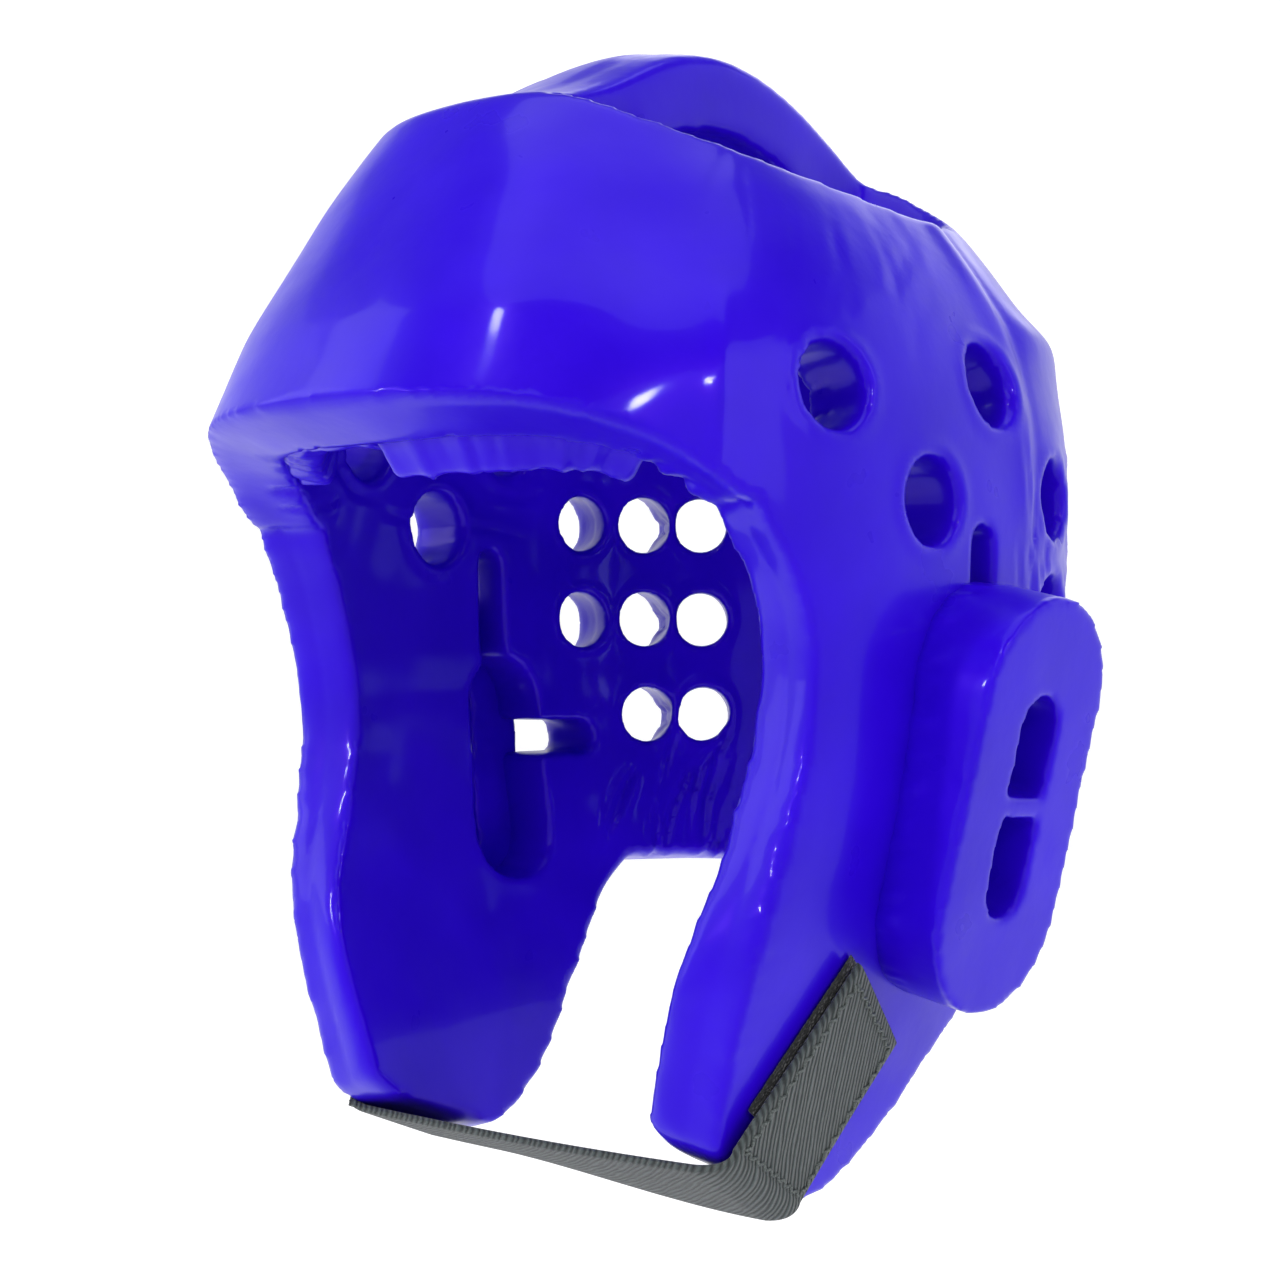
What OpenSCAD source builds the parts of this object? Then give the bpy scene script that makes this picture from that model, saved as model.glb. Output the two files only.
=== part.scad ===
// Sparring headgear: glued foam panels under a dipped vinyl coat, raised ear
// pads over keyhole ear wells, and an elastic chin strap with hook-and-loop ends.
// Frame: origin at the centre of the head cavity at ear height, wearer faces -Y,
// wearer's left is +X, +Z up. Millimetres.

/* [Shell] */
// thickness of the coated foam wall
wall = 19; // [16:0.5:20]
// thickness of one of the two plies in a cheek flap
ply = 9.35; // [7:0.05:9.4]
// half width of the shell at ear height, outside the foam
half_width = 89; // [86:0.5:92]
// distance from the ear line to the back of the shell
rear_depth = 113; // [109:0.5:116]
// distance from the ear line to the tip of the brow
brow_depth = 117; // [114:0.5:122]

/* [Vents] */
// diameter of every round vent at the outer face
vent_diameter = 20; // [16:0.5:21]
// diameter at the inner face of the vents that the rear panel's bend squeezes
vent_throat = 13.5; // [12:0.5:15]
// height step between two rows of vents
vent_row_step = 28.5; // [27:0.5:29]

/* [Ear pads] */
// distance from the middle plane to the centre of an ear pad's flat outer face
pad_face = 102; // [100:0.5:105]
// front-to-back size of an ear pad
pad_width = 49; // [44:0.5:50]
// height of an ear pad
pad_height = 98; // [90:0.5:100]
// width of the two sound slots in an ear pad
slot_width = 15; // [12:0.5:18]

/* [Chin strap] */
// width of the elastic webbing
strap_width = 30; // [25:0.5:32]
// thickness of the elastic webbing
strap_thickness = 2; // [1.6:0.1:2.2]
// length of a hook-and-loop end, measured up the cheek
tab_length = 48; // [44:0.5:52]

/* [Output] */

/* [Hidden] */

foam_colour = [0.20, 0.07, 0.80];
pad_colour = [0.24, 0.10, 0.85];
webbing_colour = [0.17, 0.19, 0.19];
hook_colour = [0.07, 0.07, 0.08];
thread_colour = [0.25, 0.27, 0.27];

glue_gap = 0.3;            // between two foam pieces
glue_turn = 0.2;           // the same gap as an angle about the vertical axis
curve_fn = 64;

// --- shell surface -------------------------------------------------------
// Half width, forward reach and rear reach of the shell at each height.
width_profile = [
  [-130, 0.64], [-106, 0.715], [-83, 0.80], [-61, 0.88], [-40, 0.93], [-20, 0.965],
  [15, 1], [50, 1.005], [70, 0.975], [90, 0.88], [105, 0.77], [118, 0.645], [132, 0.53]
];
front_profile = [
  [-130, 1.36], [-61, 1.32], [-40, 1.20], [-20, 1.06], [0, 0.99], [16, 0.995],
  [31, 1.02], [57, 1], [75, 0.925], [95, 0.815], [115, 0.705], [130, 0.605], [142, 0.51]
];
// The forehead panel keeps its slope down to its lower edge.
forehead_profile = [[25, 1.15], [40, 1.075], [57, 1], [75, 0.925]];
forehead_full = 32;        // turn up to which the forehead's slope holds in full
forehead_none = 61;        // turn from which the cheek's outline takes over
rear_profile = [
  [-130, 0.91], [-60, 0.945], [-25, 0.98], [15, 1], [60, 1], [79, 0.955], [90, 0.87],
  [105, 0.755], [118, 0.625], [126, 0.54], [136, 0.42]
];
// Squareness of the plan outline: 2 is an ellipse.
power_profile = [[-130, 2.4], [60, 2.4], [100, 2.6], [136, 3]];

// Smooth value of a profile at height z.
function row_slope(tab, i) =
  let (a = max(i - 1, 0), b = min(i + 1, len(tab) - 1))
  (tab[b][1] - tab[a][1]) / (tab[b][0] - tab[a][0]);
function row_below(tab, z, i = 0) =
  (i >= len(tab) - 2 || z < tab[i + 1][0]) ? i : row_below(tab, z, i + 1);
function smooth(tab, z) =
  let (
    i = row_below(tab, z),
    h = tab[i + 1][0] - tab[i][0],
    t = max(0, min(1, (z - tab[i][0]) / h)),
    m0 = row_slope(tab, i) * h,
    m1 = row_slope(tab, i + 1) * h,
    t2 = t * t,
    t3 = t2 * t
  )
  (2 * t3 - 3 * t2 + 1) * tab[i][1] + (t3 - 2 * t2 + t) * m0
  + (3 * t2 - 2 * t3) * tab[i + 1][1] + (t3 - t2) * m1;

function side_reach(z) = half_width * smooth(width_profile, z);
function forehead_share(turn) =
  let (t = max(0, min(1, (forehead_none - abs(turn)) / (forehead_none - forehead_full))))
  t * t * (3 - 2 * t);
function front_reach(z, turn) =
  let (
    cheek = smooth(front_profile, z),
    forehead = z > 75 ? cheek : smooth(forehead_profile, z)
  )
  brow_depth * (cheek + (forehead - cheek) * forehead_share(turn));
function rear_reach(z) = rear_depth * smooth(rear_profile, z);
function signed_power(v, p) = sign(v) * pow(abs(v), p);

// Point on the outer face: turn 0 is the front, 90 the wearer's left, 180 the back.
function shell_point(turn, z) =
  let (
    p = 2 / smooth(power_profile, z),
    reach = cos(turn) > 0 ? front_reach(z, turn) : rear_reach(z)
  )
  [side_reach(z) * signed_power(sin(turn), p), -reach * signed_power(cos(turn), p), z];

step_turn = 0.5;
step_z = 0.5;
function shell_normal(turn, z) =
  let (
    along = shell_point(turn + step_turn, z) - shell_point(turn - step_turn, z),
    up = shell_point(turn, z + step_z) - shell_point(turn, z - step_z),
    n = cross(along, up)
  )
  n / norm(n);
// Point a given depth under the outer face (a negative depth is outside it).
function under_shell(turn, z, depth) =
  shell_point(turn, z) - depth * shell_normal(turn, z);
// Turn at which the outer face reaches the given y.
function turn_at(y, z) =
  let (
    p = smooth(power_profile, z),
    reach = y < 0 ? front_reach(z, forehead_none) : rear_reach(z),
    c = pow(min(1, abs(y) / reach), p / 2)
  )
  y < 0 ? acos(c) : 180 - acos(c);

// --- outlines of the panels, height against turn ---------------------------
crown_edge = [
  [0, 130], [25, 128.5], [45, 124], [60, 119.5], [80, 112.5], [95, 108.5], [110, 108.5],
  [125, 113], [150, 124.5], [180, 132]
];
brow_edge = [[0, 56], [16, 55.5], [35, 52.5], [49, 45.6], [56, 39], [61, 33]];
// Front rim of a cheek and lower edge of a jaw flap, in the side view.
rim_edge = [
  [-106, -55], [-83, -57.5], [-61, -57], [-40, -52.5], [-20, -48], [0, -47.5], [16, -52], [33, -64]
];
jaw_edge = [
  [-56, -104], [-46, -112], [-30, -119], [-14, -125], [-2, -121], [8, -113], [20, -102],
  [30, -92], [41, -79], [50, -68.5], [60, -61], [70, -60]
];
jaw_level = -90;
crown_at = function(turn) smooth(crown_edge, abs(turn > 180 ? 360 - turn : turn));
brow_at = function(turn) smooth(brow_edge, abs(turn));
jaw_at = function(turn) smooth(jaw_edge, shell_point(turn, jaw_level)[1]);

seam_front = 61;           // turn of the seam between forehead and side
rim_top = 33;              // height where the cheek's front rim meets the brow
seam_side = 102.6;         // turn of the fold behind the ear well's neck
seam_rear = 119;           // turn where a cheek flap meets the rear panel
seam_low = -22;            // height of the seam above the cheek flaps
seam_high = 79;            // height of the fold round the upper back
nape = -60;                // lower edge of the rear panel
rear_low_at = function(turn)
  let (t = turn > 180 ? 360 - turn : turn)
  t < seam_rear + glue_turn ? seam_low + glue_gap : nape;
const_at = function(z) function(turn) z;
front_turn = function(z)
  z > rim_top ? seam_front : turn_at(smooth(rim_edge, z), z);
plain_turn = function(z) undef;

// --- closed sheets -----------------------------------------------------------
// Closed solid from two equal grids of points: the outer face and the inner face.
module sheet(outer, inner) {
  rows = len(outer);
  cols = len(outer[0]);
  n = rows * cols;
  pts = concat([for (r = outer) each r], [for (r = inner) each r]);
  function at(r, c) = r * cols + c;
  faces = concat(
    [for (r = [0 : rows - 2], c = [0 : cols - 2]) each [
      [at(r, c), at(r + 1, c), at(r + 1, c + 1)],
      [at(r, c), at(r + 1, c + 1), at(r, c + 1)],
      [n + at(r, c), n + at(r + 1, c + 1), n + at(r + 1, c)],
      [n + at(r, c), n + at(r, c + 1), n + at(r + 1, c + 1)]
    ]],
    [for (c = [0 : cols - 2], r = [0, rows - 1]) each (r == 0 ? [
      [at(r, c), at(r, c + 1), n + at(r, c + 1)],
      [at(r, c), n + at(r, c + 1), n + at(r, c)]
    ] : [
      [at(r, c + 1), at(r, c), n + at(r, c)],
      [at(r, c + 1), n + at(r, c), n + at(r, c + 1)]
    ])],
    [for (r = [0 : rows - 2], c = [0, cols - 1]) each (c == 0 ? [
      [at(r + 1, c), at(r, c), n + at(r, c)],
      [at(r + 1, c), n + at(r, c), n + at(r + 1, c)]
    ] : [
      [at(r, c), at(r + 1, c), n + at(r + 1, c)],
      [at(r, c), n + at(r + 1, c), n + at(r, c)]
    ])]
  );
  polyhedron(points = pts, faces = [for (f = faces) [f[0], f[2], f[1]]], convexity = 8);
}

// Piece of the shell wall between two turns and two edge curves. Where first is
// given, the first column follows that turn at each height.
module wall_piece(turns, low, high, rows, depth0, depth1, first = plain_turn) {
  last = len(turns) - 1;
  function height(t, j) = low(t) + (high(t) - low(t)) * j / rows;
  function turn(i, z) =
    is_undef(first(z)) ? turns[i] : turns[i] + (first(z) - turns[0]) * (1 - i / last);
  function face(depth) = [
    for (i = [0 : last]) [
      for (j = [0 : rows])
        let (z = height(turns[i], j)) under_shell(turn(i, z), z, depth)
    ]
  ];
  sheet(face(depth0), face(depth1));
}

function spread(a, b, count) = [for (i = [0 : count]) a + (b - a) * i / count];

module mirrored(side) {
  if (side > 0) {
    children();
  } else {
    mirror([1, 0, 0]) children();
  }
}

// --- vents, ear wells -----------------------------------------------------------
row_low = -17.5;
function row_height(k) = row_low + k * vent_row_step;
column_turns = [112, 125.6, 139.2, 166.4, 180];
side_vents = [[73, 60], [87, 36], [96, 65]];
drill_out = 25;            // from the outer face to the end of a drill
drill_end = 16;            // from the inner face to a drill's tip
drill_lap = 0.5;

// Drill square to the wall at one turn and height; throat is its width at the inner face.
module vent_drill(turn, z, throat) {
  p = shell_point(turn, z);
  n = shell_normal(turn, z);
  start = p + drill_out * n;
  tilt = acos(-n[2]);
  spin = atan2(-n[1], -n[0]);
  translate(start)
    rotate([0, tilt, spin])
      union() {
        cylinder(d = vent_diameter, h = drill_out, $fn = curve_fn);
        translate([0, 0, drill_out - drill_lap])
          cylinder(d1 = vent_diameter, d2 = throat, h = wall + 2 * drill_lap, $fn = curve_fn);
        translate([0, 0, drill_out + wall])
          cylinder(d = throat, h = drill_end, $fn = curve_fn);
      }
}

module mirrored_vent_drills(vents) {
  for (v = vents) {
    vent_drill(v[0], v[1], vent_throat);
    if (v[0] < 180) {
      vent_drill(360 - v[0], v[1], vent_throat);
    }
  }
}

well_y = 14;
well_radius = 13;
well_top = -12;
well_bottom = -47;
neck_y = 11;
neck_radius = 4.5;
neck_top = 27;
rear_slot = [44, 22, 9];  // x, y and z size of the slot behind the ear well
rear_slot_at = [58, 24, -26];
well_reach = 70;

// Capsule along Z, drilled along X from the middle of the head outwards.
module capsule_drill(y, radius, z0, z1) {
  for (z = [z0, z1]) {
    translate([well_reach - 30, y, z])
      rotate([0, 90, 0])
        cylinder(r = radius, h = well_reach, $fn = curve_fn);
  }
  translate([well_reach - 30, y - radius, z0])
    cube([well_reach, 2 * radius, z1 - z0]);
}

module ear_well() {
  capsule_drill(well_y, well_radius, well_bottom, well_top);
  capsule_drill(neck_y, neck_radius, well_top, neck_top);
  translate(rear_slot_at)
    cube(rear_slot);
}

// --- foam panels -------------------------------------------------------------------
module forehead_panel() {
  color(foam_colour)
    wall_piece(
      spread(-seam_front + glue_turn, seam_front - glue_turn, 30),
      brow_at, crown_at, 9, 0, wall
    );
}

roll_depth = 9;
roll_low = 1;
roll_height = 15;
roll_turn = 52;
module brow_roll(side) {
  low = function(turn) brow_at(turn) + roll_low;
  high = function(turn) brow_at(turn) + roll_low + roll_height;
  color(foam_colour)
    mirrored(side)
      wall_piece(spread(glue_turn, roll_turn, 14), low, high, 3,
                 wall + glue_gap, wall + glue_gap + roll_depth);
}

module side_panel(side) {
  color(foam_colour)
    mirrored(side)
      difference() {
        wall_piece(
          spread(seam_front + glue_turn, seam_side - glue_turn, 12),
          const_at(seam_low + glue_gap), crown_at, 14, 0, wall, front_turn
        );
        for (v = side_vents) {
          vent_drill(v[0], v[1], vent_diameter);
        }
        ear_well();
      }
}

rim_turn = 74.5;           // turn of the jaw flap's front rim
module cheek_ply(side, depth0, depth1) {
  color(foam_colour)
    mirrored(side)
      difference() {
        wall_piece(
          spread(rim_turn, seam_rear - glue_turn, 18),
          jaw_at, const_at(seam_low - glue_gap), 8, depth0, depth1, front_turn
        );
        ear_well();
      }
}
module cheek_outer_ply(side) {
  cheek_ply(side, 0, ply);
}
module cheek_inner_ply(side) {
  cheek_ply(side, wall - ply, wall);
}

rear_vents = concat(
  [for (c = column_turns) [c, row_height(2)]],
  [for (c = column_turns) [c, row_height(1)]],
  [for (c = [1 : 4]) [column_turns[c], row_height(0)]]
);
module rear_panel() {
  turns = concat(
    spread(seam_side + glue_turn, seam_rear, 6),
    spread(seam_rear + 2 * glue_turn, 360 - seam_rear - 2 * glue_turn, 30),
    spread(360 - seam_rear, 360 - seam_side - glue_turn, 6)
  );
  color(foam_colour)
    difference() {
      wall_piece(turns, rear_low_at, const_at(seam_high - glue_gap), 7, 0, wall);
      mirrored_vent_drills(rear_vents);
      for (side = [1, -1]) {
        mirrored(side) ear_well();
      }
    }
}

module rear_crown_panel() {
  color(foam_colour)
    wall_piece(
      spread(seam_side + glue_turn, 360 - seam_side - glue_turn, 32),
      const_at(seam_high), crown_at, 6, 0, wall
    );
}

// --- crown strip: bridges the crown opening from forehead to rear -----------------------
strip_half = 24;
strip_rise = 20.5;
strip_columns = 6;
strip_rows = 18;
strip_blend = 0.22;        // share of the length over which the ends turn square
strip_crowning = 1;
strip_shape = 1.2;
strip_skew = 1.08;         // above 1 the crest sits behind the middle
function unit(v) = v / norm(v);
function turn_at_x(x, z, base) =
  let (c = pow(abs(x) / side_reach(z), smooth(power_profile, z) / 2))
  base == 0 ? sign(x) * asin(c) : 180 - sign(x) * asin(c);
function edge_turn(x, base) = turn_at_x(x, base == 0 ? crown_edge[0][1] : crown_edge[9][1], base);
function edge_point(x, base, depth) =
  let (t = edge_turn(x, base))
  under_shell(t, crown_at(t), depth);
function strip_bump(t) = pow(4 * t * (1 - t), strip_shape);
function strip_outer(x, t) =
  let (
    a = edge_point(x, 0, 0),
    b = edge_point(x, 180, 0),
    crest = strip_crowning * (1 - pow(x / strip_half, 2))
  )
  a + (b - a) * t + [0, 0, (strip_rise + crest) * strip_bump(pow(t, strip_skew))];
function strip_normal(x, t) =
  let (
    e = 0.02,
    d = strip_outer(x, min(1, t + e)) - strip_outer(x, max(0, t - e)),
    n = unit([0, -d[2], d[1]]),
    na = shell_normal(edge_turn(x, 0), crown_at(edge_turn(x, 0))),
    nb = shell_normal(edge_turn(x, 180), crown_at(edge_turn(x, 180))),
    wa = max(0, 1 - t / strip_blend),
    wb = max(0, 1 - (1 - t) / strip_blend)
  )
  unit(n * (1 - wa) * (1 - wb) + na * wa + nb * wb);
strip_ends = 0.004;        // share of the length left free at each end
module crown_strip() {
  xs = spread(-strip_half, strip_half, strip_columns);
  ts = spread(strip_ends, 1 - strip_ends, strip_rows);
  outer = [for (x = xs) [for (t = ts) strip_outer(x, t)]];
  inner = [for (x = xs) [for (t = ts) strip_outer(x, t) - wall * strip_normal(x, t)]];
  color(foam_colour) sheet(outer, inner);
}

// --- ear pads ------------------------------------------------------------------------------
pad_y = 8;
pad_z = -34;
pad_lean = 4;              // top of the pad leans towards the back
pad_flare = 12;            // top of the pad leans outwards
pad_block = 42;
pad_backing = 34;
slot_half = 26;
bridge_half = 2.5;
// Oblong block or drill along X, centred on the X axis.
module stadium(width, height, x0, length) {
  r = width / 2;
  for (s = [-1, 1]) {
    translate([x0, 0, s * (height / 2 - r)])
      rotate([0, 90, 0])
        cylinder(r = r, h = length, $fn = curve_fn);
  }
  translate([x0, -r, -(height / 2 - r)])
    cube([length, width, height - width]);
}
module sound_slots() {
  difference() {
    stadium(slot_width, 2 * slot_half, -pad_block - 1, pad_block + 2);
    translate([-pad_block - 2, -slot_width, -bridge_half])
      cube([pad_block + 4, 2 * slot_width, 2 * bridge_half]);
  }
}
module ear_pad(side) {
  color(pad_colour)
    mirrored(side)
      difference() {
        translate([pad_face, pad_y, pad_z])
          rotate([-pad_lean, 0, 0])
            rotate([0, pad_flare, 0])
              difference() {
                stadium(pad_width, pad_height, -pad_block, pad_block);
                sound_slots();
              }
        wall_piece(spread(68, 120, 14), const_at(-100), const_at(32), 13, -glue_gap, pad_backing);
      }
}

// --- chin strap ------------------------------------------------------------------------------
jaw_slope = 0.40;          // fall of the jaw's lower edge per millimetre towards the back
strap_drop = -132.3;        // height of the webbing's upper face at y = 0
left_front = -55;          // y of the webbing's front edge on the wearer's left
right_front = -49;         // y of the webbing's front edge on the wearer's right
fold_x = 63;               // distance of the fold lines from the middle plane
fold_gap = 1;              // between a fold line and the lower edge of a strap end
fold_end = 3.4;            // between a fold line and the end of the webbing
tilt = atan(jaw_slope);
strap_span = strap_width * cos(tilt);
hook_depth = [-0.2, -1.2];
loop_depth = [-1.55, -2.55];
web_depth = -2.6;
tab_lean = 34;             // rearward lean of the strap ends up the cheek
end_twist = 14;            // how far the strap's width turns from the fold to the end

// Grid over one strap end: u runs up the cheek, v across the width.
function end_yz(front, u, v, width, length) =
  let (
    y0 = front + strap_span / 2,
    z0 = strap_drop - jaw_slope * y0,
    turned = tilt + end_twist * u,
    across = [cos(turned), -sin(turned)],
    along = [sin(tab_lean), cos(tab_lean)],
    base = [y0, z0] + v * width * across
  )
  base + (u * length + fold_gap) * along;
function end_point(front, u, v, width, length, depth) =
  let (q = end_yz(front, u, v, width, length))
  under_shell(turn_at(q[0], q[1]), q[1], depth);
module end_sheet(front, width, u0, u1, depth0, depth1) {
  us = spread(u0, u1, 9);
  vs = spread(-0.5, 0.5, 7);
  outer = [for (u = us) [for (v = vs) end_point(front, u, v, width, tab_length, depth1)]];
  inner = [for (u = us) [for (v = vs) end_point(front, u, v, width, tab_length, depth0)]];
  sheet(inner, outer);
}

module strap_end(side, front) {
  color(webbing_colour)
    mirrored(side)
      end_sheet(front, strap_width, 0, 1, web_depth, web_depth - strap_thickness);
}
module hook_patch(side, front) {
  color(hook_colour)
    mirrored(side)
      end_sheet(front, strap_width + 1, 0.25, 1.02, hook_depth[0], hook_depth[1]);
}
module loop_patch(side, front) {
  color(hook_colour)
    mirrored(side)
      end_sheet(front, strap_width - 4, 0.28, 0.97, loop_depth[0], loop_depth[1]);
}

stitch = [1.0, 2.6, 0.5];
stitch_count = 12;
module end_stitching(side, front) {
  color(thread_colour)
    mirrored(side)
      for (v = [-0.42, 0.42], i = [0 : stitch_count - 1]) {
        q = end_yz(front, 0.06 + 0.88 * i / (stitch_count - 1), v, strap_width, tab_length);
        t = turn_at(q[0], q[1]);
        p = under_shell(t, q[1], web_depth - strap_thickness);
        n = shell_normal(t, q[1]);
        translate(p)
          rotate([0, acos(n[2]), atan2(n[1], n[0])])
            translate([-stitch[0] / 2, -stitch[1] / 2, 0.05])
              cube(stitch);
      }
}

web_sag = 3;
module chin_webbing() {
  y_left = left_front;
  y_right = right_front;
  z_at = function(y) strap_drop - jaw_slope * y;
  corner = function(x, y, drop) [x, y, z_at(y) - drop];
  t = strap_thickness / cos(tilt);
  reach = fold_x - fold_end;
  xs = spread(-reach, reach, 10);
  side_y = function(x) y_right + (y_left - y_right) * (x + fold_x) / (2 * fold_x);
  sag = function(x) web_sag * (1 - pow(x / fold_x, 2));
  top = [for (x = xs) [for (k = [0, 0.5, 1]) corner(x, side_y(x) + k * strap_span, sag(x))]];
  bottom = [for (x = xs) [for (k = [0, 0.5, 1]) corner(x, side_y(x) + k * strap_span, sag(x) + t)]];
  color(webbing_colour) sheet(top, bottom);
}

// --- the assembly -------------------------------------------------------------------------------
forehead_panel();
brow_roll(1);  // left_brow_roll
brow_roll(-1);  // right_brow_roll
side_panel(1);  // left_side_panel
side_panel(-1);  // right_side_panel
cheek_outer_ply(1);  // left_cheek_outer_ply
cheek_outer_ply(-1);  // right_cheek_outer_ply
cheek_inner_ply(1);  // left_cheek_inner_ply
cheek_inner_ply(-1);  // right_cheek_inner_ply
rear_panel();
rear_crown_panel();
crown_strip();
ear_pad(1);  // left_ear_pad
ear_pad(-1);  // right_ear_pad
hook_patch(1, left_front);  // left_hook_patch
hook_patch(-1, right_front);  // right_hook_patch
loop_patch(1, left_front);  // left_loop_patch
loop_patch(-1, right_front);  // right_loop_patch
strap_end(1, left_front);  // left_strap_end
strap_end(-1, right_front);  // right_strap_end
chin_webbing();
end_stitching(1, left_front);  // left_end_stitching
end_stitching(-1, right_front);  // right_end_stitching
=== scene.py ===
"""Sparring headgear: a glossy dipped-foam shell with ear pads, brow rolls and a chin strap."""

import bmesh
import bpy
import numpy as np
from mathutils import Matrix, Vector


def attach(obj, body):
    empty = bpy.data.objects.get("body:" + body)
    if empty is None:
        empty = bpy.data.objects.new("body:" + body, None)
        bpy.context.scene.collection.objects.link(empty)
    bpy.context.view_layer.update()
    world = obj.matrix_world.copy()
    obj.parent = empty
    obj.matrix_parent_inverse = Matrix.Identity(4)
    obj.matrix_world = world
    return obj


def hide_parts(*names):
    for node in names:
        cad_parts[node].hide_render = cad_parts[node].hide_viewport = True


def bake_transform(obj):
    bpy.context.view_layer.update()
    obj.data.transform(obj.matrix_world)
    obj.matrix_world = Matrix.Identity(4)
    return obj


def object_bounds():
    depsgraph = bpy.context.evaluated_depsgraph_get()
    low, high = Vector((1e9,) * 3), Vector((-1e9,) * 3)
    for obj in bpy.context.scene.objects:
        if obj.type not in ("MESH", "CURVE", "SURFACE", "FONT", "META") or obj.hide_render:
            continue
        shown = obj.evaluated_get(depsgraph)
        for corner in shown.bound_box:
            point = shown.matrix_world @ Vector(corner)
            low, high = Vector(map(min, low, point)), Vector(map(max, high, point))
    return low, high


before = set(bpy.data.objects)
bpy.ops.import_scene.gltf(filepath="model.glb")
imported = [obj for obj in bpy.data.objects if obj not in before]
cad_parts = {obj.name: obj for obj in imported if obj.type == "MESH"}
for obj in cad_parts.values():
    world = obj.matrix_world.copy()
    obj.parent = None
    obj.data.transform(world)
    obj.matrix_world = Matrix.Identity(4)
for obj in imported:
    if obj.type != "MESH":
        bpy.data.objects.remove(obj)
CAD_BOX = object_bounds()

# Driving dimensions, in millimetres unless they say otherwise.
MM = 0.001
WALL = 19.0
HALF_WIDTH = 89.0
REAR_DEPTH = 113.0
BROW_DEPTH = 117.0
VENT_RADIUS = 10.0
VENT_THROAT = 6.75  # radius to which a rear vent narrows at the inner face
THROAT_FLARE = 1.1  # widening of that inner radius in the skin
SKIN_VOXEL = 1.5
PAD_VOXEL = 1.0
ROLL_VOXEL = 1.2
STRAP_WIDTH = 30.0
STRAP_THICKNESS = 2.0
STRAP_LENGTH_UP = 48.0
FOLD_X = 63.0  # sideways place of the folds under the jaws
FOLD_GAP = 1.0  # room between a fold and the strap end
FOLD_DROOP = 5.5  # hang of the left fold's rear edge
WEB_SAG = 1.0
JAW_SLOPE = 0.40  # fall of the jaw's lower edge per millimetre towards the back
STRAP_DROP = -132.3  # height of the webbing's upper face at y = 0
LEFT_FRONT = -55.0  # y of the strap's front edge at the left fold
RIGHT_FRONT = -49.0
TAB_LEAN = 34.0  # degrees that a strap end leans back from upright
END_TWIST = 14.0  # degrees that a strap end turns over its length
SWING_ROOM = 0.125  # metres of air that the hanging strap needs over the floor

# The skin's own set, in millimetres out from the solids.
BROW_CORNER_FLAT = 2.2
BROW_UPPER_FLAT = 2.8
REAR_FOLD_RISE = 2.2
JAW_FILL = 1.8
RIGHT_FLAP_SPREAD = 3.2
RIGHT_RIM_OUT = 1.6
RIGHT_RIM_FORWARD = 2.6
RIM_SLANT = 3.5
JAW_DROP = 1.4
STRIP_DIP = 4.0
VENT_LIP = 0.45
INNER_LIP = 0.35

# The shell's outer face: shares of its half width and reach at each height.
WIDTH_PROFILE = [
    (-130, 0.64), (-106, 0.715), (-83, 0.80), (-61, 0.88), (-40, 0.93), (-20, 0.965),
    (15, 1), (50, 1.005), (70, 0.975), (90, 0.88), (105, 0.77), (118, 0.645), (132, 0.53),
]
FRONT_PROFILE = [
    (-130, 1.36), (-61, 1.32), (-40, 1.20), (-20, 1.06), (0, 0.99), (16, 0.995), (31, 1.02),
    (57, 1), (75, 0.925), (95, 0.815), (115, 0.705), (130, 0.605), (142, 0.51),
]
FOREHEAD_PROFILE = [(25, 1.15), (40, 1.075), (57, 1), (75, 0.925)]
REAR_PROFILE = [
    (-130, 0.91), (-60, 0.945), (-25, 0.98), (15, 1), (60, 1), (79, 0.955), (90, 0.87),
    (105, 0.755), (118, 0.625), (126, 0.54), (136, 0.42),
]
POWER_PROFILE = [(-130, 2.4), (60, 2.4), (100, 2.6), (136, 3)]
CROWN_EDGE = [
    (0, 130), (25, 128.5), (45, 124), (60, 119.5), (80, 112.5), (95, 108.5), (110, 108.5),
    (125, 113), (150, 124.5), (180, 132),
]
RIM_EDGE = [
    (-106, -55), (-83, -57.5), (-61, -57), (-40, -52.5), (-20, -48), (0, -47.5), (16, -52),
    (33, -64),
]
SIDE_VENTS = [(73, 60), (87, 36), (96, 65)]
REAR_COLUMNS = (112, 125.6, 139.2, 166.4, 180)
REAR_VENTS = [(turn, row) for row in (39.5, 11) for turn in REAR_COLUMNS]
REAR_VENTS += [(turn, -17.5) for turn in REAR_COLUMNS[1:]]


# --- the shell's surface -------------------------------------------------------
def profile(table, height):
    """Smooth value of a height table at each height."""
    rows = np.array(table, float)
    at, value = rows[:, 0], rows[:, 1]
    slope = np.gradient(value, at)
    slope[1:-1] = (value[2:] - value[:-2]) / (at[2:] - at[:-2])
    i = np.clip(np.searchsorted(at, height, side="right") - 1, 0, len(at) - 2)
    step = at[i + 1] - at[i]
    t = np.clip((height - at[i]) / step, 0, 1)
    rise = (2 * t**3 - 3 * t**2 + 1) * value[i] + (3 * t**2 - 2 * t**3) * value[i + 1]
    bend = (t**3 - 2 * t**2 + t) * slope[i] + (t**3 - t**2) * slope[i + 1]
    return rise + bend * step


def signed_power(value, power):
    return np.sign(value) * np.abs(value) ** power


def folded(turn):
    """Turn counted from the front on either side, from 0 to 180."""
    turn = np.mod(turn, 360)
    return np.where(turn > 180, 360 - turn, turn)


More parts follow.
